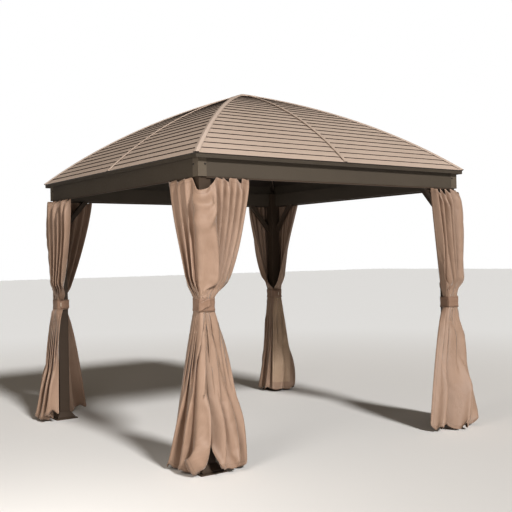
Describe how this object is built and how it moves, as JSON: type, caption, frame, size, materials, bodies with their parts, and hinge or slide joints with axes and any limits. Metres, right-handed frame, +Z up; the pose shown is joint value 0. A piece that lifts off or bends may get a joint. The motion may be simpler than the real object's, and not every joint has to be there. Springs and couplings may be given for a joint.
{
  "type": "hardtop gazebo",
  "caption": "Open square garden gazebo with a domed lapped-metal hip roof on corner posts, beams with knee braces, and gathered curtains tied back to the posts.",
  "frame": {"origin": "centre of the plan at ground level", "axes": "+Z up, -Y out of the front side (the lit side in the picture), -X out of the left side"},
  "size_m": [3.12, 3.12, 3.1291],
  "materials": {
    "frame_dark": "matt powder coat",
    "beam_paint": "matt powder coat",
    "roof_paint": "satin coil coat",
    "roof_trim": "satin coil coat",
    "curtain_cloth": "woven, soft sheen",
    "strap_cloth": "woven"
  },
  "bodies": {
    "root": {"post_front_left": "frame_dark", "post_front_right": "frame_dark", "post_back_left": "frame_dark", "post_back_right": "frame_dark", "foot_plate_front_left": "frame_dark", "foot_plate_front_right": "frame_dark", "foot_plate_back_left": "frame_dark", "foot_plate_back_right": "frame_dark", "foot_covers": "frame_dark", "beam_front": "beam_paint", "beam_right": "beam_paint", "beam_back": "beam_paint", "beam_left": "beam_paint", "beam_corner_covers": "beam_paint", "curtain_rails": "frame_dark", "knee_braces": "frame_dark", "eave_rail_front": "roof_paint", "eave_rail_right": "roof_paint", "eave_rail_back": "roof_paint", "eave_rail_left": "roof_paint", "roof_panel_front_a": "roof_paint", "roof_panel_front_b": "roof_paint", "roof_panel_right_a": "roof_paint", "roof_panel_right_b": "roof_paint", "roof_panel_back_a": "roof_paint", "roof_panel_back_b": "roof_paint", "roof_panel_left_a": "roof_paint", "roof_panel_left_b": "roof_paint", "hip_rib_front_left": "roof_trim", "hip_rib_front_right": "roof_trim", "hip_rib_back_right": "roof_trim", "hip_rib_back_left": "roof_trim", "seam_ribs": "roof_trim", "crown_cap": "roof_trim", "crown_hub": "frame_dark", "curtain_front_left": "curtain_cloth", "curtain_front_right": "curtain_cloth", "curtain_back_left": "curtain_cloth", "curtain_back_right": "curtain_cloth", "tie_strap_front_left": "strap_cloth", "tie_strap_front_right": "strap_cloth", "tie_strap_back_left": "strap_cloth", "tie_strap_back_right": "strap_cloth"}
  },
  "joints": []
}
